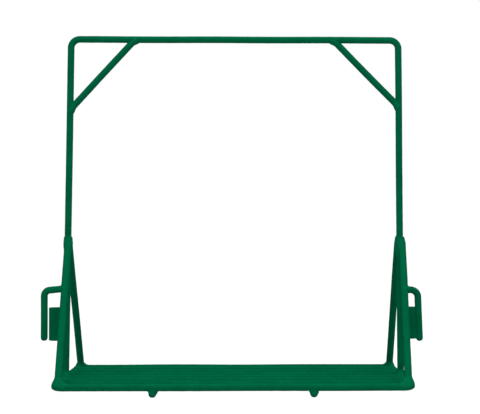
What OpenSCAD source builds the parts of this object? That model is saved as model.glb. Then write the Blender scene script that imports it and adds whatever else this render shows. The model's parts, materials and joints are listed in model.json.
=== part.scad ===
// Welded round-rod scale model of a cattle guard with an overhead entry bow.
//
// Eight parallel rods make the floor: the front and rear rails of a bent loop
// and six slats between its side rails. Two runners carry them. On each side a
// front leg and a rear leg brace one upright of the bow, and a drop pin and a
// pipe sleeve join the guard to the next fence panel. Every joint is welded.
//
// Origin: on the ground, under the middle of the floor.
// Axes: +X across the entrance, +Y through it from front to rear, +Z up.

/* [Rod stock] */
// Diameter of the floor and leg rods, coating included
floor_rod_d = 5.2; // [4.8:0.1:5.6]
// Diameter of the bow, brace and drop pin rods, coating included
bow_rod_d = 4.8; // [4.4:0.1:5.2]

/* [Floor] */
// Distance between the axes of the two side rails
floor_w = 258; // [230:1:300]
// Distance between the axes of the front and rear rails
floor_l = 120; // [100:1:140]
// Centre-line radius of the bent corners of the loop
corner_bend_r = 6.5; // [5:0.5:10]
// Distance from the middle of the floor to each runner
runner_x = 58.5; // [40:0.5:80]

/* [Entry bow] */
// Height of the top bar's axis above the ground
bow_h = 268.8; // [240:0.1:300]
// Distance from the middle of the guard to the left upright's foot
left_foot_x = 130; // [128:0.1:131]
// Distance from the middle of the guard to the right upright's foot
right_foot_x = 129; // [128:0.1:131]
// How far the left upright leans in between its foot and the top bar
left_bow_lean = 3.5; // [0:0.1:5]
// How far the right upright leans in
right_bow_lean = 1.4; // [0:0.1:5]
// Centre-line radius of the two top bends
bow_bend_r = 6.8; // [6:0.1:14]
// Distance from the left corner of the bow's axes to where the brace meets the top bar
left_brace_run = 49.4; // [35:0.1:60]
// Distance from the right corner to where its brace meets the top bar
right_brace_run = 50.7; // [35:0.1:60]
// Distance from the left corner down to where the brace meets the upright
left_brace_drop = 54.7; // [35:0.1:60]
// Distance from the right corner down to where its brace meets the upright
right_brace_drop = 51.9; // [35:0.1:60]

/* [Side wings] */
// Height at which the legs' axes reach the upright
leg_top_z = 108; // [95:1:125]
// Distance from the middle plane of the guard to the middle of each left leg's foot
left_leg_x = 126.6; // [126:0.1:129]
// Distance from the middle plane to the middle of each right leg's foot
right_leg_x = 127.2; // [126:0.1:129]
// Distance from the middle of the floor to the middle of each leg's foot
leg_foot_y = 58; // [45:0.5:60]
// How far outwards the left front leg leans between its foot and the upright
left_front_leg_out = 1.8; // [-1:0.1:3]
// How far outwards the left rear leg leans
left_rear_leg_out = 1.4; // [-1.5:0.1:2]
// How far outwards the right front leg leans
right_front_leg_out = 3; // [-1:0.1:4]
// How far outwards the right rear leg leans
right_rear_leg_out = -0.2; // [-1.5:0.1:2]

/* [Drop pins] */
// Distance from the middle of the guard to the left pin's axis
left_pin_x = 143.1; // [140:0.1:150]
// Distance from the middle of the guard to the right pin's axis
right_pin_x = 140.8; // [140:0.1:150]
// Centre-line radius of the left pin's bend
left_pin_bend_r = 4.4; // [3.5:0.1:6]
// Centre-line radius of the right pin's bend
right_pin_bend_r = 5.6; // [3.5:0.1:6]
// Height of the axis of each pin's arm
pin_arm_z = 75.6; // [65:0.1:85]
// Height of the left pin's rounded tip
left_pin_tip_z = 37.4; // [30:0.1:45]
// Height of the right pin's rounded tip
right_pin_tip_z = 36.9; // [30:0.1:45]

/* [Sleeves] */
// Outer diameter of each pipe sleeve
sleeve_od = 11; // [9:0.1:12]
// Bore of each pipe sleeve
sleeve_bore = 7; // [6:0.1:7.5]
// Length of the left sleeve
left_sleeve_l = 25.3; // [20:0.1:32]
// Length of the right sleeve
right_sleeve_l = 24.3; // [20:0.1:32]
// Height of the left sleeve's lower end
left_sleeve_z = 35.8; // [30:0.1:45]
// Height of the right sleeve's lower end
right_sleeve_z = 37; // [30:0.1:45]

/* [Welds] */
// Depth to which a rod's end sinks into the rod that it is welded to
sink = 0.8; // [0.5:0.1:1]
// Depth to which the floor rods sink into the runners
runner_sink = 0.4; // [0.2:0.1:0.6]
// Radius of the bead round a floor rod's end
floor_bead_r = 3.7; // [3.3:0.1:4.2]
// Radius of the bead round a left leg's foot
left_foot_bead_r = 4.3; // [3.8:0.1:4.8]
// Radius of the bead round a right leg's foot
right_foot_bead_r = 4.2; // [3.8:0.1:4.8]
// Radius of the bead round a bow, brace or arm end
bow_bead_r = 3.8; // [3.3:0.1:4.2]
// Radius of the bead where a floor rod crosses a runner
cross_bead_r = 3; // [2.6:0.1:3.4]
// Radius of the cap that ties the left legs to their upright
left_apex_bead_r = 3.7; // [3.2:0.1:5]
// Radius of the cap that ties the right legs to their upright
right_apex_bead_r = 4.6; // [3.2:0.1:5]

/* [Hidden] */

$fn = 64;
coat = [0.0, 0.40, 0.26];
bead_coat = [0.0, 0.46, 0.30];

floor_rod_r = floor_rod_d / 2;
bow_rod_r = bow_rod_d / 2;
slat_count = 6;
slat_pitch = floor_l / (slat_count + 1);
rail_x = floor_w / 2;
rail_y = floor_l / 2;
// The floor rods lie on the runners, and the runners on the ground
floor_z = floor_rod_d + floor_rod_r - runner_sink;
floor_top_z = floor_z + floor_rod_r;

// How far a leg's axis is from the upright's axis where the leg ends
leg_end_y = bow_rod_r;
leg_slope = (leg_foot_y - leg_end_y) / (leg_top_z - floor_top_z);
function leg_y(z) = leg_end_y + (leg_top_z - z) * leg_slope;

pin_y = -leg_y(pin_arm_z);

// How much a ball that joins a bend to a straight stands out from the rod
knuckle = 0.03;

// Larger than the whole guard, for cutting planes
reach = 400;

LEFT = -1;
RIGHT = 1;
FRONT = -1;
REAR = 1;

// The two sides differ a little, as hand-bent and hand-fitted rods do

function left_or_right(side, left, right) = side == LEFT ? left : right;

function leg_x(side) = left_or_right(side, left_leg_x, right_leg_x);

function leg_out(side, end) = end == FRONT
    ? left_or_right(side, left_front_leg_out, right_front_leg_out)
    : left_or_right(side, left_rear_leg_out, right_rear_leg_out);

function pin_x(side) = left_or_right(side, left_pin_x, right_pin_x);
function pin_tip_z(side) = left_or_right(side, left_pin_tip_z, right_pin_tip_z);
function pin_bend_r(side) = left_or_right(side, left_pin_bend_r, right_pin_bend_r);
function foot_bead_r(side) = left_or_right(side, left_foot_bead_r, right_foot_bead_r);
function apex_bead_r(side) = left_or_right(side, left_apex_bead_r, right_apex_bead_r);
function sleeve_l(side) = left_or_right(side, left_sleeve_l, right_sleeve_l);
function sleeve_z(side) = left_or_right(side, left_sleeve_z, right_sleeve_z);
function brace_run(side) = left_or_right(side, left_brace_run, right_brace_run);
function brace_drop(side) = left_or_right(side, left_brace_drop, right_brace_drop);

// An upright leans inwards from its foot, which stands on the side rail
function foot_x(side) = left_or_right(side, left_foot_x, right_foot_x);
function lean_slope(side) =
    left_or_right(side, left_bow_lean, right_bow_lean) / (bow_h - floor_top_z);
function upright_x(side, z) = foot_x(side) - (z - floor_top_z) * lean_slope(side);
function bow_top_x(side) = upright_x(side, bow_h);

// How far the bow's bends begin from the corners of its axes, along the top bar
function bend_start(side) = bow_bend_r * tan((90 - atan(lean_slope(side))) / 2);

// The sleeve stands upright and touches the leaning upright at its lower end
function sleeve_x(side) = upright_x(side, sleeve_z(side)) + bow_rod_r + sleeve_od / 2;

// Where a drop pin's arm meets the outer side of its leg
function arm_root(side) =
    let (rise = (pin_arm_z - floor_top_z) / (leg_top_z - floor_top_z))
    [leg_x(side) + rise * leg_out(side, FRONT) + floor_rod_r, pin_y, pin_arm_z];

// Shared shapes

// A straight rod between two points, its ends square to its axis
module rod(from, to, d) {
    run = to - from;
    translate(from)
        rotate([0, atan2(norm([run.x, run.y]), run.z), atan2(run.y, run.x)])
            cylinder(h = norm(run), d = d);
}

// A bend in the XY plane about the origin, between two angles from +X to +Y
module bend(bend_r, d, first = 0, last = 90) {
    rotate([0, 0, first])
        rotate_extrude(angle = last - first)
            translate([bend_r, 0]) circle(d = d);
}

// Draws the right-hand half's shape on the side asked for
module on_side(side) {
    mirror([side == LEFT ? 1 : 0, 0, 0]) children();
}

// Draws the rear half's shape on the end asked for
module at_end(end) {
    mirror([0, end == FRONT ? 1 : 0, 0]) children();
}

// A ball about a joint; pole_tilt turns its poles from Z to X
module bead(centre, r, pole_tilt = 0) {
    translate(centre) rotate([0, pole_tilt, 0]) sphere(r = r);
}

// Bare rods, without colour, so that a neighbour can be cut to fit them

module base_loop() {
    translate([0, 0, floor_z]) {
        for (side = [LEFT, RIGHT]) {
            rod([side * rail_x, corner_bend_r - rail_y, 0],
                [side * rail_x, rail_y - corner_bend_r, 0], floor_rod_d);
            rod([corner_bend_r - rail_x, side * rail_y, 0],
                [rail_x - corner_bend_r, side * rail_y, 0], floor_rod_d);
        }
        for (side = [LEFT, RIGHT], end = [FRONT, REAR])
            on_side(side) at_end(end)
                translate([rail_x - corner_bend_r, rail_y - corner_bend_r, 0])
                    bend(corner_bend_r, floor_rod_d);
    }
}

function slat_y(number) = number * slat_pitch - rail_y;

module slat_rod(number) {
    end_x = rail_x - floor_rod_r + sink;
    rod([-end_x, slat_y(number), floor_z], [end_x, slat_y(number), floor_z], floor_rod_d);
}

module runner_rod() {
    rod([runner_x, -rail_y, floor_rod_r], [runner_x, rail_y, floor_rod_r], floor_rod_d);
}

// The bow's three straights and two bends, with a ball where each two meet
module bow_rod() {
    for (side = [LEFT, RIGHT]) {
        lean = atan(lean_slope(side));
        corner = [bow_top_x(side), 0, bow_h];
        foot = [upright_x(side, floor_top_z - sink), 0, floor_top_z - sink];
        upright_end = corner - bend_start(side) * [-sin(lean), 0, cos(lean)];
        bar_end = corner - [bend_start(side), 0, 0];
        on_side(side) {
            rod(foot, upright_end, bow_rod_d);
            translate(bar_end - [0, 0, bow_bend_r])
                rotate([90, 0, 0]) bend(bow_bend_r, bow_rod_d, first = lean);
            for (joint = [upright_end, bar_end])
                translate(joint) sphere(r = bow_rod_r + knuckle);
        }
    }
    rod([bend_start(LEFT) - bow_top_x(LEFT), 0, bow_h],
        [bow_top_x(RIGHT) - bend_start(RIGHT), 0, bow_h], bow_rod_d);
}

// A corner brace as on the right, cut square on both rods of the bow
module brace_rod(side) {
    overrun = 6;
    low_z = bow_h - brace_drop(side);
    start = [bow_top_x(side) - brace_run(side), 0, bow_h];
    finish = [upright_x(side, low_z), 0, low_z];
    along = (finish - start) / norm(finish - start);
    cut_x = finish.x - bow_rod_r + sink;
    cut_z = bow_h - bow_rod_r + sink;
    intersection() {
        rod(start - overrun * along, finish + overrun * along, bow_rod_d);
        translate([cut_x - reach, -reach / 2, cut_z - reach]) cube(reach);
    }
}

// A leg as at the right rear, cut level at its foot and upright at its top
module leg_rod(side, end) {
    overrun = 10;
    foot = [leg_x(side), leg_foot_y, floor_top_z];
    top = [leg_x(side) + leg_out(side, end), leg_end_y, leg_top_z];
    along = (top - foot) / norm(top - foot);
    cut_y = leg_end_y - sink;
    intersection() {
        rod(foot - overrun * along, top + overrun * along, floor_rod_d);
        translate([0, cut_y, floor_top_z - sink]) cube(reach);
    }
}

// A right-hand drop pin: an arm out from the front leg, bent down to a pin, with
// a ball where the arm and the bend meet
module pin_rod(side) {
    bend_r = pin_bend_r(side);
    bend_centre = [pin_x(side) - bend_r, pin_y, pin_arm_z - bend_r];
    tip_centre = [pin_x(side), pin_y, pin_tip_z(side) + bow_rod_r];
    translate(bend_centre) rotate([90, 0, 0]) bend(bend_r, bow_rod_d);
    bead(bend_centre + [0, 0, bend_r], bow_rod_r + knuckle, 90);
    rod(arm_root(side) - [sink, 0, 0], bend_centre + [0, 0, bend_r], bow_rod_d);
    rod(tip_centre, bend_centre + [bend_r, 0, 0], bow_rod_d);
    translate(tip_centre) sphere(d = bow_rod_d);
}

// Floor

module base_frame() {
    color(coat) base_loop();
}

module slat(number) {
    color(coat) difference() {
        slat_rod(number);
        base_loop();
    }
}

module runner(side) {
    color(coat) on_side(side) difference() {
        runner_rod();
        base_loop();
        for (number = [1:slat_count]) slat_rod(number);
    }
}

// Entry bow

module entry_bow() {
    color(coat) difference() {
        bow_rod();
        base_loop();
    }
}

module corner_brace(side) {
    color(coat) difference() {
        on_side(side) brace_rod(side);
        bow_rod();
    }
}

// Side wings

module leg(side, end) {
    color(coat) difference() {
        on_side(side) at_end(end) leg_rod(side, end);
        base_loop();
        bow_rod();
    }
}

// Hardware that joins the guard to the next panel

module drop_pin(side) {
    color(coat) on_side(side) difference() {
        pin_rod(side);
        at_end(FRONT) leg_rod(side, FRONT);
    }
}

module sleeve(side) {
    color(coat) on_side(side)
        translate([sleeve_x(side), 0, sleeve_z(side)]) difference() {
            cylinder(h = sleeve_l(side), d = sleeve_od);
            translate([0, 0, -1]) cylinder(h = sleeve_l(side) + 2, d = sleeve_bore);
        }
}

// Welds

module slat_welds(side) {
    color(bead_coat) on_side(side)
        for (number = [1:slat_count]) difference() {
            bead([rail_x - floor_rod_r, slat_y(number), floor_z], floor_bead_r, 90);
            slat_rod(number);
            base_loop();
        }
}

module runner_welds(side) {
    color(bead_coat) on_side(side)
        for (number = [0:slat_count + 1]) difference() {
            bead([runner_x, slat_y(number), floor_rod_d - runner_sink / 2], cross_bead_r);
            runner_rod();
            slat_rod(number);
            base_loop();
        }
}

// The beads at the feet of one side's two legs and upright
module foot_welds(side) {
    color(bead_coat) {
        for (end = [FRONT, REAR]) on_side(side) at_end(end) difference() {
            bead([leg_x(side), leg_foot_y, floor_top_z], foot_bead_r(side));
            leg_rod(side, end);
            base_loop();
        }
        difference() {
            on_side(side) bead([foot_x(side), 0, floor_top_z], bow_bead_r);
            bow_rod();
            base_loop();
        }
    }
}

// A double cone of weld metal round the upright, where both legs end on it
module apex_weld(side) {
    cap_z = leg_top_z - 1.5;
    cap_h = 9;
    skirt_h = 6;
    cap_r = apex_bead_r(side);
    color(bead_coat) difference() {
        on_side(side) translate([upright_x(side, leg_top_z), 0, cap_z]) {
            cylinder(h = cap_h, r1 = cap_r, r2 = bow_rod_r + 0.1);
            translate([0, 0, -skirt_h])
                cylinder(h = skirt_h, r1 = bow_rod_r + 0.6, r2 = cap_r);
        }
        bow_rod();
        on_side(side) for (end = [FRONT, REAR]) at_end(end) leg_rod(side, end);
    }
}

// The beads at both ends of one side's corner brace
module brace_welds(side) {
    low_z = bow_h - brace_drop(side);
    top_x = bow_top_x(side) - brace_run(side);
    slant = brace_drop(side) / (upright_x(side, low_z) - top_x);
    top_end = [top_x + bow_rod_r / slant, 0, bow_h - bow_rod_r];
    low_end = [upright_x(side, low_z) - bow_rod_r, 0, low_z + bow_rod_r * slant];
    color(bead_coat)
        for (end = [top_end, low_end]) difference() {
            on_side(side) bead(end, bow_bead_r);
            on_side(side) brace_rod(side);
            bow_rod();
        }
}

module pin_weld(side) {
    color(bead_coat) on_side(side) difference() {
        bead(arm_root(side), bow_bead_r, 90);
        pin_rod(side);
        at_end(FRONT) leg_rod(side, FRONT);
    }
}

// Two upright beads, one each side of the line where sleeve and upright touch
module sleeve_welds(side) {
    bead_r = 1.2;
    bead_y = 1.7;
    bead_x = sleeve_x(side) - sleeve_od / 2;
    inset = 1.5;
    color(bead_coat)
        for (end = [FRONT, REAR]) difference() {
            on_side(side) translate([bead_x, end * bead_y, sleeve_z(side) + inset])
                cylinder(h = sleeve_l(side) - 2 * inset, r = bead_r);
            on_side(side) translate([sleeve_x(side), 0, sleeve_z(side)])
                cylinder(h = sleeve_l(side), d = sleeve_od);
            bow_rod();
        }
}

base_frame();
slat(1);  // slat_1
slat(2);  // slat_2
slat(3);  // slat_3
slat(4);  // slat_4
slat(5);  // slat_5
slat(6);  // slat_6
runner(LEFT);  // runner_left
runner(RIGHT);  // runner_right
entry_bow();
corner_brace(LEFT);  // corner_brace_left
corner_brace(RIGHT);  // corner_brace_right
leg(LEFT, FRONT);  // front_leg_left
leg(RIGHT, FRONT);  // front_leg_right
leg(LEFT, REAR);  // rear_leg_left
leg(RIGHT, REAR);  // rear_leg_right
drop_pin(LEFT);  // drop_pin_left
drop_pin(RIGHT);  // drop_pin_right
sleeve(LEFT);  // sleeve_left
sleeve(RIGHT);  // sleeve_right
slat_welds(LEFT);  // slat_welds_left
slat_welds(RIGHT);  // slat_welds_right
runner_welds(LEFT);  // runner_welds_left
runner_welds(RIGHT);  // runner_welds_right
foot_welds(LEFT);  // foot_welds_left
foot_welds(RIGHT);  // foot_welds_right
apex_weld(LEFT);  // apex_weld_left
apex_weld(RIGHT);  // apex_weld_right
brace_welds(LEFT);  // brace_welds_left
brace_welds(RIGHT);  // brace_welds_right
pin_weld(LEFT);  // pin_weld_left
pin_weld(RIGHT);  // pin_weld_right
sleeve_welds(LEFT);  // sleeve_welds_left
sleeve_welds(RIGHT);  // sleeve_welds_right
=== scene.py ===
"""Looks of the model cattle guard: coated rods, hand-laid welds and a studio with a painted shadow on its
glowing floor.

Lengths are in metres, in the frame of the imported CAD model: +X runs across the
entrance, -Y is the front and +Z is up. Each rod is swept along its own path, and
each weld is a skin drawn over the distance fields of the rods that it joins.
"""

import json
import math

import bpy
import numpy as np
from mathutils import Euler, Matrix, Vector


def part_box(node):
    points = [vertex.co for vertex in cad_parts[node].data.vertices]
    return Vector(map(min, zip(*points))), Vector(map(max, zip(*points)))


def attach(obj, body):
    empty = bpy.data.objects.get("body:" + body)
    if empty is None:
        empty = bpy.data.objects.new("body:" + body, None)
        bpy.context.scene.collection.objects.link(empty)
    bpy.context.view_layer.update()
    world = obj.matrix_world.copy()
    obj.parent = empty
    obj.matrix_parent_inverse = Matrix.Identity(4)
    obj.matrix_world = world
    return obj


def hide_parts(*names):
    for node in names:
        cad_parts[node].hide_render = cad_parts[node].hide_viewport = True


MM = 0.001
SIDES = {"left": -1, "right": 1}
ENDS = {"front": -1, "rear": 1}
X, Y, Z = np.eye(3)

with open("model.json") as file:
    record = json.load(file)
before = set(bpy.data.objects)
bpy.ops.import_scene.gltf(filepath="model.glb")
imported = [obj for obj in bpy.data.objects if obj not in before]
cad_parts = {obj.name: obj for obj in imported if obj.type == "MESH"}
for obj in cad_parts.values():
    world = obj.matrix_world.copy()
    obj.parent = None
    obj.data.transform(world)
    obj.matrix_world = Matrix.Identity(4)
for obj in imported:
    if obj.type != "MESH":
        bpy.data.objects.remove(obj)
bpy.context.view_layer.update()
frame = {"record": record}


# Places and sizes, read off the CAD model's boxes


def low(node):
    """A CAD node's lowest corner."""
    return np.array(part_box(node)[0])


def high(node):
    """A CAD node's highest corner."""
    return np.array(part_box(node)[1])


def middle(node):
    """The middle of a CAD node's box."""
    return (low(node) + high(node)) / 2


def extent(node):
    """A CAD node's size along each axis."""
    return high(node) - low(node)


FLOOR_R = extent("slat_1")[2] / 2
BOW_R = extent("drop_pin_left")[1] / 2
FLOOR_Z = middle("slat_1")[2]
FLOOR_TOP = FLOOR_Z + FLOOR_R
RAIL_X = high("base_frame")[0] - FLOOR_R
RAIL_Y = high("base_frame")[1] - FLOOR_R
SLATS = [f"slat_{number}" for number in range(1, 7)]
BOW_TOP_Z = high("entry_bow")[2] - extent("entry_bow")[1] / 2

# Sizes that a box doesn't show
CORNER_BEND_R = 6.5 * MM
BOW_BEND_R = 6.8 * MM
FOOT_X = {"left": 130 * MM, "right": 129 * MM}
BOW_LEAN = {"left": 3.5 * MM, "right": 1.4 * MM}
BRACE_RUN = {"left": 49.4 * MM, "right": 50.7 * MM}
BRACE_DROP = {"left": 54.7 * MM, "right": 51.9 * MM}
LEG_X = {"left": 126.6 * MM, "right": 127.2 * MM}
LEG_FOOT_Y = 58 * MM
LEG_TOP_Z = 108 * MM
LEG_OUT = {
    ("left", "front"): 1.8 * MM,
    ("left", "rear"): 1.4 * MM,
    ("right", "front"): 3 * MM,
    ("right", "rear"): -0.2 * MM,
}
PIN_BEND_R = {"left": 4.4 * MM, "right": 5.6 * MM}
ARM_RISE = {"left": 1.1 * MM, "right": 0}
PIN_SPLAY = {"left": 0, "right": 1.3 * MM}
SINK = 0.8 * MM


def lean_slope(side):
    """How far an upright leans in for each metre of height."""
    return BOW_LEAN[side] / (BOW_TOP_Z - FLOOR_TOP)


def upright_x(side, z):
    """How far an upright's axis is from the middle plane at a height."""
    return FOOT_X[side] - (z - FLOOR_TOP) * lean_slope(side)


def leg_y(z):
    """How far a leg's axis is from the bow's plane at a height."""
    slope = (LEG_FOOT_Y - BOW_R) / (LEG_TOP_Z - FLOOR_TOP)
    return BOW_R + (LEG_TOP_Z - z) * slope


def leg_x(side, end, z):
    """How far a leg's axis is from the middle plane at a height."""
    return LEG_X[side] + LEG_OUT[side, end] * (z - FLOOR_TOP) / (LEG_TOP_Z - FLOOR_TOP)


# Meshes made of rings


def add_piece(name, points, faces):
    """A smooth-shaded mesh object in the scene."""
    mesh = bpy.data.meshes.new(name)
    mesh.from_pydata([tuple(p) for p in points], [], [tuple(f) for f in faces])
    mesh.validate()
    mesh.polygons.foreach_set("use_smooth", [True] * len(mesh.polygons))
    piece = bpy.data.objects.new(name, mesh)
    bpy.context.scene.collection.objects.link(piece)
    return piece


def ring_mesh(rings, closed):
    """Points and faces of a tube through rings of points; an open one gets two end fans."""
    count, sides = rings.shape[:2]
    points = rings.reshape(-1, 3)
    last = count if closed else count - 1
    ring, side = np.meshgrid(np.arange(last), np.arange(sides), indexing="ij")
    following, beside = (ring + 1) % count, (side + 1) % sides
    near, far = ring * sides, following * sides
    quads = np.stack([near + side, near + beside, far + beside, far + side], axis=-1).reshape(-1, 4)
    faces = quads.tolist()
    if not closed:
        ends = np.stack([rings[0].mean(axis=0), rings[-1].mean(axis=0)])
        first, second = len(points), len(points) + 1
        tail = (count - 1) * sides
        points = np.concatenate([points, ends])
        faces += [[first, (s + 1) % sides, s] for s in range(sides)]
        faces += [[second, tail + s, tail + (s + 1) % sides] for s in range(sides)]
    return points, faces


def waves(points, wavelength, seed, count=7):
    """Smooth noise between about -1 and 1: a sum of plane waves in seeded directions."""
    draw = np.random.default_rng(seed)
    directions = draw.normal(size=(count, 3))
    directions /= np.linalg.norm(directions, axis=1)[:, None]
    numbers = 2 * math.pi / (wavelength * draw.uniform(0.7, 1.5, count))
    phases = draw.uniform(0, 2 * math.pi, count)
    total = np.sin(points @ (directions * numbers[:, None]).T + phases).sum(axis=-1)
    return total / math.sqrt(count)


# Rods

ROD_SIDES = 36
ROD_STEP = 1.3 * MM
WOBBLE = 0.1 * MM
WOBBLE_LENGTH = 70 * MM
# How proud of the CAD model's rods the coat stands
COAT = 0.18 * MM
COAT_SWELL = 0.022 * MM
COAT_SWELL_LENGTH = 5 * MM
# Edge radius at a rod's two ends
SAWN_ENDS = (0.4 * MM, 0.4 * MM)


def arc(centre, start, finish, degrees=90, step=6):
    """Points of a bend about a centre that begins along start and turns towards finish."""
    count = max(2, round(degrees / step))
    turn = np.radians(np.linspace(0, degrees, count + 1))[:, None]
    return centre + np.cos(turn) * start + np.sin(turn) * finish


def resampled(points, step, closed):
    """The path with points a step apart on its straights, its bends kept."""
    if closed:
        points = np.concatenate([points, points[:1]])
    made = []
    for a, b in zip(points[:-1], points[1:]):
        count = max(1, math.ceil(np.linalg.norm(b - a) / step))
        made.append(a + (b - a) * (np.arange(count) / count)[:, None])
    if not closed:
        made.append(points[-1:])
    return np.concatenate(made)


class Rod:
    """A round rod in one plane, with its mesh and its distance field from the same path.

    normal is the plane's normal. rounding is the edge radius at the two ends. A cut
    (point, direction) takes away what lies beyond the point in that direction.
    """

    def __init__(self, node, points, radius, normal, closed=False, rounding=SAWN_ENDS, cuts=()):
        self.node, self.radius, self.normal, self.closed = node, radius + COAT, normal, closed
        self.rounding, self.cuts = rounding, cuts
        path = resampled(np.array(points), ROD_STEP, closed)
        steps = np.linalg.norm(np.diff(path, axis=0), axis=1)
        along = np.concatenate([[0], np.cumsum(steps)])
        hold = np.ones(len(path)) if closed else np.sin(math.pi * along / along[-1])
        for axis, seed in ((normal, 1), (self.across(path), 2)):
            drift = waves(path, WOBBLE_LENGTH, seed + len(node))
            path = path + (WOBBLE * hold * drift)[:, None] * axis
        self.path = path

    def tangents(self, path):
        """Unit tangents along a path."""
        if self.closed:
            run = np.roll(path, -1, axis=0) - np.roll(path, 1, axis=0)
        else:
            run = np.gradient(path, axis=0)
        return run / np.linalg.norm(run, axis=1)[:, None]

    def across(self, path):
        """Unit vectors in the rod's plane, square to the path."""
        return np.cross(self.tangents(path), self.normal)

    def rings(self):
        """Rings of points on the rod's skin, closing in at rounded ends."""
        tangents, across = self.tangents(self.path), self.across(self.path)
        centres, radii = self.path, np.full(len(self.path), self.radius)
        if not self.closed:
            start, finish = self.rounding
            turn = np.radians(np.linspace(90, 0, 7))
            back = turn[::-1]
            lead = -start * np.sin(turn)[:, None] * tangents[0] + self.path[0] + start * tangents[0]
            trail = finish * np.sin(back)[:, None] * tangents[-1] + self.path[-1] - finish * tangents[-1]
            inner = self.between(start, finish)
            centres = np.concatenate([lead, self.path[inner], trail])
            across = np.concatenate(
                [np.repeat(across[:1], 7, 0), across[inner], np.repeat(across[-1:], 7, 0)]
            )
            radii = np.concatenate(
                [
                    self.radius - start + start * np.cos(turn),
                    radii[inner],
                    self.radius - finish + finish * np.cos(back),
                ]
            )
        angle = np.linspace(0, 2 * math.pi, ROD_SIDES, endpoint=False)
        out = np.cos(angle)[None, :, None] * across[:, None] + np.sin(angle)[None, :, None] * self.normal
        skin = centres[:, None] + radii[:, None, None] * out
        swell = COAT_SWELL * waves(skin, COAT_SWELL_LENGTH, 31)
        return skin + swell[..., None] * out

    def between(self, start, finish):
        """Which path points lie clear of the rounded ends."""
        steps = np.linalg.norm(np.diff(self.path, axis=0), axis=1)
        along = np.concatenate([[0], np.cumsum(steps)])
        return (along > start + 0.1 * MM) & (along < along[-1] - finish - 0.1 * MM)

    def build(self):
        """The rod's mesh object, with its cuts made by sliding points back along the rod."""
        points, faces = ring_mesh(self.rings(), self.closed)
        slide = self.tangents(self.path)[len(self.path) // 2]
        for place, direction in self.cuts:
            beyond = np.maximum((points - place) @ direction, 0)
            points = points - (beyond / (slide @ direction))[:, None] * slide
        return add_piece(f"{self.node}_rod", points, faces)

    def distance(self, points, reach):
        """Distance from each point to the rod's skin, exact within reach of the points."""
        centre = points.reshape(-1, 3).mean(axis=0)
        path = np.concatenate([self.path, self.path[:1]]) if self.closed else self.path
        best = np.full(points.shape[:-1], np.inf)
        for a, b in zip(path[:-1], path[1:]):
            if min(np.linalg.norm(a - centre), np.linalg.norm(b - centre)) > reach + 3 * ROD_STEP:
                continue
            run = b - a
            part = np.clip((points - a) @ run / (run @ run), 0, 1)
            gap = points - a - part[..., None] * run
            best = np.minimum(best, np.sqrt((gap * gap).sum(axis=-1)))
        best = best - self.radius
        for place, direction in self.cuts:
            best = np.maximum(best, (points - place) @ direction)
        return best


class Sleeve:
    """An upright pipe with rounded rims."""

    rim = 0.45 * MM

    def __init__(self, node, bore_r):
        self.node, self.bore_r = node, bore_r
        self.outer_r = extent(node)[0] / 2
        self.centre = middle(node)
        self.half = extent(node)[2] / 2

    def build(self):
        """The pipe's mesh object, from its wall's outline turned about its axis."""
        rim, half = self.rim, self.half
        corners = [
            (self.outer_r - rim, rim - half, -90),
            (self.outer_r - rim, half - rim, 0),
            (self.bore_r + rim, half - rim, 90),
            (self.bore_r + rim, rim - half, 180),
        ]
        outline = []
        for r, z, first in corners:
            for turn in np.radians(np.linspace(first, first + 90, 6)):
                outline.append((r + rim * math.cos(turn), z + rim * math.sin(turn)))
        outline.append(outline[0])
        fine = []
        for (r0, z0), (r1, z1) in zip(outline[:-1], outline[1:]):
            count = max(1, math.ceil(math.hypot(r1 - r0, z1 - z0) / (1.2 * MM)))
            fine += [(r0 + (r1 - r0) * i / count, z0 + (z1 - z0) * i / count) for i in range(count)]
        r, z = np.array(fine).T
        angle = np.linspace(0, 2 * math.pi, 56, endpoint=False)
        out = np.cos(angle)[:, None] * X + np.sin(angle)[:, None] * Y
        rings = self.centre + r[:, None, None] * out + z[:, None, None] * Z
        rings = rings + (COAT_SWELL * waves(rings, COAT_SWELL_LENGTH, 32))[..., None] * out
        points, faces = ring_mesh(rings, closed=True)
        return add_piece(f"{self.node}_pipe", points, faces)

    def distance(self, points, reach):
        """Distance from each point to the pipe's wall."""
        gap = points - self.centre
        wall = (self.outer_r - self.bore_r) / 2
        radial = np.abs(np.hypot(gap[..., 0], gap[..., 1]) - self.bore_r - wall) - wall
        return np.maximum(radial, np.abs(gap[..., 2]) - self.half)


def floor_loop():
    """The bent loop of front, rear and side rails."""
    inner_x, inner_y = RAIL_X - CORNER_BEND_R, RAIL_Y - CORNER_BEND_R
    points = []
    for sx, sy in ((1, -1), (1, 1), (-1, 1), (-1, -1)):
        centre = np.array([sx * inner_x, sy * inner_y, FLOOR_Z])
        along_x, along_y = CORNER_BEND_R * sx * X, CORNER_BEND_R * sy * Y
        first, second = (along_y, along_x) if sx * sy < 0 else (along_x, along_y)
        points.extend(arc(centre, first, second))
    return Rod("base_frame", points, FLOOR_R, Z, closed=True)


def slat(node):
    """A floor slat, its ends inside the side rails."""
    y = middle(node)[1]
    end = (RAIL_X - 0.6 * MM) * X
    level = y * Y + FLOOR_Z * Z
    return Rod(node, [level - end, level + end], FLOOR_R, Z)


def runner(node):
    """A runner under the floor, its ends open to view."""
    level = middle(node)[0] * X + FLOOR_R * Z
    ends = [low(node)[1] * Y + level, high(node)[1] * Y + level]
    return Rod(node, ends, FLOOR_R, Z, rounding=(0.9 * MM, 0.9 * MM))


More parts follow.
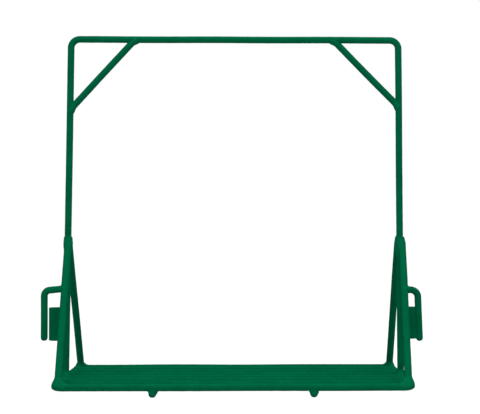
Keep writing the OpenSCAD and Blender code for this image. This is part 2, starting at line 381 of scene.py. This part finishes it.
def entry_bow():
    """The inverted U, its two uprights leaning in a little."""
    foot_z = FLOOR_TOP - SINK
    points = []
    for side, sign in SIDES.items():
        lean = math.atan(lean_slope(side))
        to_bend = BOW_BEND_R * math.tan((math.pi / 2 - lean) / 2)
        foot = sign * upright_x(side, foot_z) * X + foot_z * Z
        centre = sign * (upright_x(side, BOW_TOP_Z) - to_bend) * X + (BOW_TOP_Z - BOW_BEND_R) * Z
        out = BOW_BEND_R * (sign * math.cos(lean) * X + math.sin(lean) * Z)
        half = [foot, *arc(centre, out, BOW_BEND_R * Z, degrees=90 - math.degrees(lean))]
        points += half if sign < 0 else half[::-1]
    return Rod("entry_bow", points, BOW_R, Y)


def corner_brace(side):
    """A straight brace across one top corner, its ends inside the bow."""
    sign = SIDES[side]
    low_z = BOW_TOP_Z - BRACE_DROP[side]
    top = sign * (upright_x(side, BOW_TOP_Z) - BRACE_RUN[side]) * X + BOW_TOP_Z * Z
    bottom = sign * upright_x(side, low_z) * X + low_z * Z
    inset = 1.2 * MM * (bottom - top) / np.linalg.norm(bottom - top)
    return Rod(f"corner_brace_{side}", [top + inset, bottom - inset], BOW_R, Y)


def leg(side, end):
    """A sloping leg, cut level at its foot and upright where it meets the bow."""
    x_sign, y_sign = SIDES[side], ENDS[end]
    heights = (FLOOR_TOP - 6 * MM, LEG_TOP_Z + 9 * MM)
    points = [x_sign * leg_x(side, end, z) * X + y_sign * leg_y(z) * Y + z * Z for z in heights]
    cuts = [
        ((FLOOR_TOP - SINK) * Z, -Z),
        (y_sign * (BOW_R - SINK) * Y, -y_sign * Y),
    ]
    return Rod(f"{end}_leg_{side}", points, FLOOR_R, X, cuts=cuts)


def arm_root(side):
    """Where a drop pin's arm starts, on the axis of its leg."""
    node = f"drop_pin_{side}"
    arm_z = high(node)[2] - BOW_R
    root_z = arm_z + ARM_RISE[side]
    return SIDES[side] * leg_x(side, "front", arm_z) * X + middle(node)[1] * Y + root_z * Z


def drop_pin(side):
    """An arm out from the front leg that turns down into a round-tipped pin."""
    node, out = f"drop_pin_{side}", SIDES[side] * X
    bend_r = PIN_BEND_R[side]
    pin_x = max(abs(low(node)[0]), abs(high(node)[0])) - BOW_R
    y = middle(node)[1] * Y
    top_z, tip_z = high(node)[2] - BOW_R, low(node)[2]
    centre = (pin_x - PIN_SPLAY[side] - bend_r) * out + y + (top_z - bend_r) * Z
    tip = pin_x * out + y + tip_z * Z
    points = [arm_root(side), *arc(centre, bend_r * Z, bend_r * out), tip]
    return Rod(node, points, BOW_R, Y, rounding=(0.4 * MM, 0.98 * BOW_R))


def all_rods():
    """Every rod and pipe of the guard by its CAD node's name."""
    bore_r = {m["name"]: m["dims"]["r_mm"] * MM for m in frame["record"]["mounts"]}
    made = [floor_loop(), entry_bow()]
    made += [slat(node) for node in SLATS]
    for side in SIDES:
        made += [runner(f"runner_{side}"), corner_brace(side), drop_pin(side)]
        made += [leg(side, end) for end in ENDS]
        made.append(Sleeve(f"sleeve_{side}", bore_r[f"sleeve_{side}"]))
    return {rod.node: rod for rod in made}


# Welds

VOXEL = 0.32 * MM
TUCK = 0.07 * MM


def net_surface(field, origin, step):
    """Points and faces of the zero surface of a field on a grid, by surface nets."""
    cells = np.array(field.shape) - 1
    total = np.zeros((*cells, 3))
    hits = np.zeros(cells)
    corners = [np.array(c) for c in np.ndindex(2, 2, 2)]

    def at(corner):
        i, j, k = corner
        return field[i : i + cells[0], j : j + cells[1], k : k + cells[2]]

    for a in corners:
        for axis in range(3):
            if a[axis]:
                continue
            b = a.copy()
            b[axis] = 1
            fa, fb = at(a), at(b)
            cross = (fa < 0) != (fb < 0)
            part = np.where(cross, fa / np.where(cross, fa - fb, 1), 0)
            for i in range(3):
                total[..., i] += cross * (a[i] + part * (i == axis))
            hits += cross
    used = hits > 0
    number = np.full(cells, -1)
    number[used] = np.arange(used.sum())
    points = origin + step * (np.argwhere(used) + total[used] / hits[used][:, None])

    faces = []
    for axis in range(3):
        u, v = (axis + 1) % 3, (axis + 2) % 3
        step_axis, step_u, step_v = np.eye(3, dtype=int)[[axis, u, v]]
        at_start = tuple(slice(None, -1) if i == axis else slice(None) for i in range(3))
        at_end = tuple(slice(1, None) if i == axis else slice(None) for i in range(3))
        inside = field < 0
        cross = np.argwhere(inside[at_start] != inside[at_end])
        fits = (cross[:, u] > 0) & (cross[:, v] > 0)
        fits &= (cross[:, u] < field.shape[u] - 1) & (cross[:, v] < field.shape[v] - 1)
        cross = cross[fits]
        around = [cross - step_u - step_v, cross - step_v, cross, cross - step_u]
        quad = np.stack([number[tuple(c.T)] for c in around], axis=1)
        outward = inside[tuple(cross.T)]
        faces.append(np.where(outward[:, None], quad, quad[:, ::-1]))
    return points, np.concatenate(faces)


def relaxed(points, faces, times=2):
    """The points moved a part of the way to their neighbours' mean, which fairs the skin."""
    pairs = np.concatenate([faces[:, [i, (i + 1) % 4]] for i in range(4)])
    pairs = np.concatenate([pairs, pairs[:, ::-1]])
    count = np.bincount(pairs[:, 0], minlength=len(points))[:, None]
    for _ in range(times):
        total = np.stack(
            [np.bincount(pairs[:, 0], points[pairs[:, 1], i], len(points)) for i in range(3)], axis=1
        )
        points = points + 0.5 * (total / np.maximum(count, 1) - points)
    return points


class Weld:
    """One bead: a skin over the rods near a joint, swollen where they meet.

    blend is how far the fillet reaches from the seam, and swell how proud the metal
    stands there. ripple(points) runs on by 1 for each puddle of the bead. A side is a
    direction: the bead is laid on that side, and the seam stays sharp on the other.
    drops are blobs of metal beside the joint, as (offset, radius).
    """

    def __init__(
        self,
        rods,
        centre,
        reach,
        ripple,
        blend=2.4 * MM,
        swell=0.3 * MM,
        stretch=(1, 1, 1),
        seed=0,
        side=None,
        drops=(),
    ):
        self.rods, self.centre, self.reach = rods, np.array(centre), reach
        self.ripple, self.blend, self.swell = ripple, blend, swell
        self.stretch, self.seed = np.array(stretch, float), seed
        self.side, self.drops = side, drops

    def field(self, grid):
        """The signed distance to the bead's skin."""
        reach = (self.reach * self.stretch).max() * 1.8
        gaps = np.sort([rod.distance(grid, reach) for rod in self.rods], axis=0)
        near = np.clip(1 - (gaps[1] - gaps[0]) / self.blend, 0, 1)
        if self.side is not None:
            toward = (grid - self.centre) @ self.side / (2.4 * MM)
            near = near * np.clip(0.55 + toward, 0.12, 1)
        drift = waves(grid, 4.5 * MM, 50 + self.seed)
        puddle = np.abs(np.sin(math.pi * (self.ripple(grid) + 0.25 * drift)))
        proud = self.swell * (0.62 + 0.3 * puddle + 0.22 * drift)
        field = gaps[0] - near**2 * self.blend / 4 - near**1.5 * proud + TUCK * (1 - near)
        for offset, radius in self.drops:
            drop = np.linalg.norm(grid - self.centre - offset, axis=-1) - radius
            mix = np.clip(0.5 + (field - drop) / (1.6 * MM), 0, 1)
            field = field * (1 - mix) + drop * mix - 0.8 * MM * mix * (1 - mix)
        edge = np.linalg.norm((grid - self.centre) / self.stretch, axis=-1) - self.reach
        return np.maximum(field, edge + 0.25 * MM * drift)

    def skin(self):
        """The bead's points and faces."""
        half = self.reach * self.stretch
        counts = np.ceil(2 * (half + 2 * VOXEL) / VOXEL).astype(int)
        origin = self.centre - counts * VOXEL / 2
        axes = [origin[i] + VOXEL * np.arange(counts[i] + 1) for i in range(3)]
        grid = np.stack(np.meshgrid(*axes, indexing="ij"), axis=-1)
        points, faces = net_surface(self.field(grid), origin, VOXEL)
        return relaxed(points, faces), faces


def round_axis(centre, axis, puddles):
    """A ripple that goes round an axis through a point."""
    u = np.cross(axis, Y if abs(axis[1]) < 0.9 else X)
    u = u / np.linalg.norm(u)
    v = np.cross(axis, u)

    def ripple(points):
        gap = points - centre
        return puddles * np.arctan2(gap @ v, gap @ u) / (2 * math.pi)

    return ripple


def up_axis(spacing):
    """A ripple that climbs Z."""
    return lambda points: points[..., 2] / spacing


def slat_welds(rods, side):
    """The beads round one side's slat ends."""
    made = []
    for number, node in enumerate(SLATS):
        centre = SIDES[side] * (RAIL_X - FLOOR_R) * X + middle(node)[1] * Y + FLOOR_Z * Z
        swell = (0.3 + 0.1 * math.sin(5.1 * number + SIDES[side])) * MM
        joined = [rods[node], rods["base_frame"]]
        seed = number + 10 * SIDES[side]
        ripple = round_axis(centre, X, 9)
        made.append(Weld(joined, centre, 4.6 * MM, ripple, swell=swell, seed=20 + seed))
    return made


# Blobs of metal at the two runners' front ends, as offsets from the seam
RUNNER_DROPS = {
    "left": [(np.array([2.3, -0.6, 0.5]) * MM, 1.2 * MM)],
    "right": [
        (np.array([-2.4, -0.6, 0.4]) * MM, 1.3 * MM),
        (np.array([2.6, -0.8, -1.6]) * MM, 0.7 * MM),
    ],
}


def runner_welds(rods, side):
    """The beads where one runner crosses the floor rods."""
    x = middle(f"runner_{side}")[0] * X
    z = (2 * FLOOR_R - 0.2 * MM) * Z
    made = []
    for number, node in enumerate(["front", *SLATS, "rear"]):
        y = ENDS[node] * RAIL_Y if node in ENDS else middle(node)[1]
        centre = x + y * Y + z
        joined = [rods["base_frame" if node in ENDS else node], rods[f"runner_{side}"]]
        ripple = round_axis(centre, Z, 8)
        drops = RUNNER_DROPS[side] if node == "front" else ()
        made.append(Weld(joined, centre, 4 * MM, ripple, blend=2 * MM, seed=number, drops=drops))
    return made


# How proud the beads at the legs' feet stand
FOOT_SWELL = {"left": 0.15 * MM, "right": 0.35 * MM}


def foot_welds(rods, side):
    """The beads at the feet of one side's legs and upright."""
    made = []
    for end in ENDS:
        centre = SIDES[side] * LEG_X[side] * X + ENDS[end] * LEG_FOOT_Y * Y + FLOOR_TOP * Z
        joined = [rods[f"{end}_leg_{side}"], rods["base_frame"]]
        blend, swell = (5.8 * MM, FOOT_SWELL[side]) if end == "front" else (4 * MM, 0.3 * MM)
        ripple = round_axis(centre, Z, 10)
        made.append(Weld(joined, centre, 8 * MM, ripple, blend=blend, swell=swell, seed=3))
    centre = SIDES[side] * FOOT_X[side] * X + FLOOR_TOP * Z
    joined = [rods["entry_bow"], rods["base_frame"]]
    ripple = round_axis(centre, Z, 9)
    made.append(Weld(joined, centre, 6.4 * MM, ripple, blend=4 * MM, swell=0.5 * MM, seed=4))
    return made


def apex_weld(rods, side):
    """The cap of metal where one side's two legs end on the upright."""
    centre = SIDES[side] * upright_x(side, LEG_TOP_Z) * X + (LEG_TOP_Z + 0.5 * MM) * Z
    joined = [rods["entry_bow"], rods[f"front_leg_{side}"], rods[f"rear_leg_{side}"]]
    climb, stretch = up_axis(2.4 * MM), (1, 1.1, 1.5)
    seed = 5 + SIDES[side]
    return [Weld(joined, centre, 5.8 * MM, climb, blend=2.6 * MM, stretch=stretch, seed=seed)]


def brace_welds(rods, side):
    """The beads at the two ends of one side's corner brace."""
    sign = SIDES[side]
    low_z = BOW_TOP_Z - BRACE_DROP[side]
    top = sign * (upright_x(side, BOW_TOP_Z) - BRACE_RUN[side] + BOW_R) * X + (BOW_TOP_Z - BOW_R) * Z
    bottom = sign * (upright_x(side, low_z) - BOW_R) * X + (low_z + BOW_R) * Z
    axis = (bottom - top) / np.linalg.norm(bottom - top)
    inward = np.cross(axis, Y) * -sign
    joined = [rods[f"corner_brace_{side}"], rods["entry_bow"]]
    made = []
    for centre in (top, bottom):
        ripple = round_axis(centre, axis, 9)
        made.append(Weld(joined, centre, 5.4 * MM, ripple, blend=3 * MM, seed=7 + sign, side=inward))
    return made


def pin_weld(rods, side):
    """The bead round the root of one drop pin's arm."""
    centre = arm_root(side) + SIDES[side] * FLOOR_R * X
    joined = [rods[f"drop_pin_{side}"], rods[f"front_leg_{side}"]]
    ripple = round_axis(centre, X, 9)
    return [Weld(joined, centre, 4.2 * MM, ripple, blend=1.8 * MM, swell=0.12 * MM, seed=9, side=Y)]


def sleeve_welds(rods, side):
    """The long bead down the seams between one sleeve and its upright."""
    node = f"sleeve_{side}"
    sleeve = rods[node]
    x = SIDES[side] * (abs(sleeve.centre[0]) - sleeve.outer_r)
    centre = x * X + sleeve.centre[2] * Z
    reach = 3.4 * MM
    tall = (sleeve.half - 1 * MM) / reach
    joined = [sleeve, rods["entry_bow"]]
    climb, stretch = up_axis(2 * MM), (1, 1, tall)
    return [Weld(joined, centre, reach, climb, blend=1.8 * MM, swell=0.35 * MM, stretch=stretch, seed=11)]


def weld_piece(node, welds):
    """One mesh object of all the beads that a CAD node groups."""
    points, faces, count = [], [], 0
    for weld in welds:
        own_points, own_faces = weld.skin()
        points.append(own_points)
        faces.append(own_faces + count)
        count += len(own_points)
    return add_piece(f"{node}_beads", np.concatenate(points), np.concatenate(faces))


# Materials


class Nodes:
    """A short way to build a material's node tree."""

    def __init__(self, name):
        self.material = bpy.data.materials.new(name)
        self.material.use_nodes = True
        self.tree = self.material.node_tree
        self.shader = self.tree.nodes["Principled BSDF"]
        self.place = self.add("ShaderNodeTexCoord").outputs["Object"]

    def add(self, kind, **settings):
        """A node, with its properties set."""
        node = self.tree.nodes.new(kind)
        for key, value in settings.items():
            setattr(node, key, value)
        return node

    def link(self, output, node, socket):
        """Joins an output to a node's socket."""
        self.tree.links.new(output, node.inputs[socket])

    def noise(self, wavelength, detail=2.0, roughness=0.5):
        """Noise with features about a wavelength long, from 0 to 1."""
        node = self.add("ShaderNodeTexNoise")
        node.inputs["Scale"].default_value = 1 / wavelength
        node.inputs["Detail"].default_value = detail
        node.inputs["Roughness"].default_value = roughness
        self.link(self.place, node, "Vector")
        return node.outputs["Fac"]

    def ramp(self, value, *stops):
        """A colour ramp through (position, colour) stops."""
        node = self.add("ShaderNodeValToRGB")
        elements = node.color_ramp.elements
        while len(elements) < len(stops):
            elements.new(0.5)
        for element, (position, colour) in zip(elements, stops):
            element.position = position
            element.color = (*colour, 1)
        self.link(value, node, "Fac")
        return node.outputs["Color"]

    def spread(self, value, low_out, high_out, low_in=0.3, high_in=0.7):
        """A value mapped to another range."""
        node = self.add("ShaderNodeMapRange")
        for socket, number in zip(
            ("From Min", "From Max", "To Min", "To Max"), (low_in, high_in, low_out, high_out)
        ):
            node.inputs[socket].default_value = number
        self.link(value, node, "Value")
        return node.outputs["Result"]

    def bump(self, height, distance, under=None):
        """A bump of a real height, on top of another if one is given."""
        node = self.add("ShaderNodeBump")
        node.inputs["Strength"].default_value = 1.0
        node.inputs["Distance"].default_value = distance
        self.link(height, node, "Height")
        if under is not None:
            self.link(under, node, "Normal")
        return node.outputs["Normal"]


def powder_coat(name, thin, usual, thick, peel, flow, roughness):
    """Green powder coat: cloudy colour, a fine speckle, orange peel and a slow flow.

    thin, usual and thick are its colours where the coat is so. peel and flow are the
    heights of the fine and the broad unevenness. The coat has no specular reflection.
    """
    made = Nodes(name)
    shader = made.shader
    clouds = made.noise(14 * MM, detail=4, roughness=0.6)
    colour = made.ramp(clouds, (0.3, thin), (0.5, usual), (0.72, thick))
    grains = made.noise(0.35 * MM, detail=2)
    speckle = made.ramp(grains, (0.36, (0.88, 0.88, 0.88)), (0.62, (1.05, 1.05, 1.05)))
    mixed = made.add("ShaderNodeMix", data_type="RGBA", blend_type="MULTIPLY")
    mixed.inputs["Factor"].default_value = 0.6
    made.tree.links.new(colour, mixed.inputs["A"])
    made.tree.links.new(speckle, mixed.inputs["B"])
    made.link(mixed.outputs["Result"], shader, "Base Color")
    made.link(made.spread(made.noise(3.5 * MM, detail=3), *roughness), shader, "Roughness")
    shader.inputs["Specular IOR Level"].default_value = 0.0
    broad = made.bump(made.noise(3.2 * MM, detail=1), flow)
    fine = made.bump(made.noise(0.85 * MM, detail=2), peel, under=broad)
    made.link(fine, shader, "Normal")
    return made.material


def coat_materials():
    """The finish of each of the record's material slots."""
    thin, usual, thick = (0.0002, 0.067, 0.0278), (0.0003, 0.075, 0.0312), (0.0004, 0.083, 0.0348)
    finishes = {
        "rod": (thin, usual, thick, 0.016 * MM, 0.03 * MM, (0.36, 0.5)),
        "pipe": (thin, usual, thick, 0.02 * MM, 0.03 * MM, (0.38, 0.52)),
        "weld": (usual, thick, thick, 0.022 * MM, 0.05 * MM, (0.32, 0.46)),
    }
    coats = {}
    for kind, finish in finishes.items():
        coats[f"coated_{kind}"] = powder_coat(f"powder_coat_{kind}", *finish)
    return coats


# Studio


def paper_material(name, colour, glow):
    """Dark matt paper whose own glow makes it look pale, with a painted shadow: the glow is dimmed in an
    oval under the guard.
    """
    made = Nodes(name)
    shader = made.shader
    darker = tuple(0.985 * c for c in colour)
    tint = made.ramp(made.noise(900 * MM, detail=1), (0.3, colour), (0.7, darker))
    made.link(tint, shader, "Base Color")
    shader.inputs["Roughness"].default_value = 0.9
    shader.inputs["Specular IOR Level"].default_value = 0.0
    shader.inputs["Emission Color"].default_value = (1, 1, 1, 1)
    # Painted shadow: the glow drops to 0.1 inside an oval under the guard and rises to the full glow
    # outside it.
    shadow_middle_y = 22 * MM
    offset = made.add("ShaderNodeVectorMath", operation="SUBTRACT")
    made.link(made.place, offset, 0)
    offset.inputs[1].default_value = (0, shadow_middle_y, 0)
    shape = made.add("ShaderNodeVectorMath", operation="MULTIPLY")
    made.link(offset.outputs["Vector"], shape, 0)
    shape.inputs[1].default_value = (1 / RAIL_X, 1 / (RAIL_Y - shadow_middle_y), 0)
    power = made.add("ShaderNodeVectorMath", operation="MULTIPLY")
    made.link(shape.outputs["Vector"], power, 0)
    made.link(shape.outputs["Vector"], power, 1)
    shadow_oval_distance = made.add("ShaderNodeVectorMath", operation="LENGTH")
    made.link(power.outputs["Vector"], shadow_oval_distance, 0)
    shade, inner, outer = 0.1, 0.7, 1.1
    glow_with_painted_shadow = made.spread(shadow_oval_distance.outputs["Value"], shade, glow, inner, outer)
    made.link(glow_with_painted_shadow, shader, "Emission Strength")
    return made.material


def build_floor():
    """A wide floor, pale by its own glow, with a painted shadow under the guard."""
    half = 12
    corners = [(-half, -half, 0), (half, -half, 0), (half, half, 0), (-half, half, 0)]
    floor = add_piece("studio_floor", corners, [(0, 1, 2, 3)])
    floor.data.materials.append(paper_material("studio_paper", (0.09, 0.09, 0.09), 0.93))


def build_sky():
    """A white surround, as inside a light tent."""
    world = bpy.data.worlds.new("light_tent")
    world.use_nodes = True
    surround = world.node_tree.nodes["Background"]
    surround.inputs["Color"].default_value = (1, 1, 1, 1)
    surround.inputs["Strength"].default_value = 1.0
    bpy.context.scene.world = world


def softbox(name, place, aim, width, height, watts):
    """A rectangular soft light that faces a point."""
    lamp = bpy.data.lights.new(name, "AREA")
    lamp.shape = "RECTANGLE"
    lamp.size, lamp.size_y, lamp.energy = width, height, watts
    light = bpy.data.objects.new(name, lamp)
    light.location = place
    light.rotation_euler = (Vector(aim) - Vector(place)).to_track_quat("-Z", "Y").to_euler()
    bpy.context.scene.collection.objects.link(light)


def build_lights():
    """A large overhead light and a weak one from the front."""
    aim = (0, 0, 0.12)
    softbox("overhead", (0, -0.3, 1.3), aim, 1.4, 1.0, 19)
    softbox("front", (0.1, -1.3, 0.5), aim, 0.8, 0.6, 1.5)


def build_camera():
    """A camera in front of the guard at a little under half its height, tipped up by a degree."""
    camera = bpy.data.cameras.new("camera")
    camera.sensor_width = 36
    camera.lens = 87.6
    camera.shift_x = -0.06
    view = bpy.data.objects.new("camera", camera)
    view.location = (10.9 * MM, -906.3 * MM, 122.2 * MM)
    view.rotation_euler = Euler((math.radians(91.05), 0, math.radians(-1)))
    bpy.context.scene.collection.objects.link(view)
    bpy.context.scene.camera = view


def build_guard():
    """Every piece of the guard, standing for its CAD node."""
    coats = coat_materials()
    slots = {part["node"]: part["material_slot"] for part in frame["record"]["subparts"]}
    rods = all_rods()
    made = {node: rod.build() for node, rod in rods.items()}
    makers = [slat_welds, runner_welds, foot_welds, apex_weld, brace_welds, pin_weld, sleeve_welds]
    for side in SIDES:
        for maker in makers:
            node = f"{maker.__name__}_{side}"
            made[node] = weld_piece(node, maker(rods, side))
    for node, piece in made.items():
        piece.data.materials.append(coats[slots[node]])
        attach(piece, "root")
        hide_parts(node)


bpy.context.scene.view_settings.view_transform = "Standard"
build_camera()
build_sky()
build_lights()
build_floor()
build_guard()
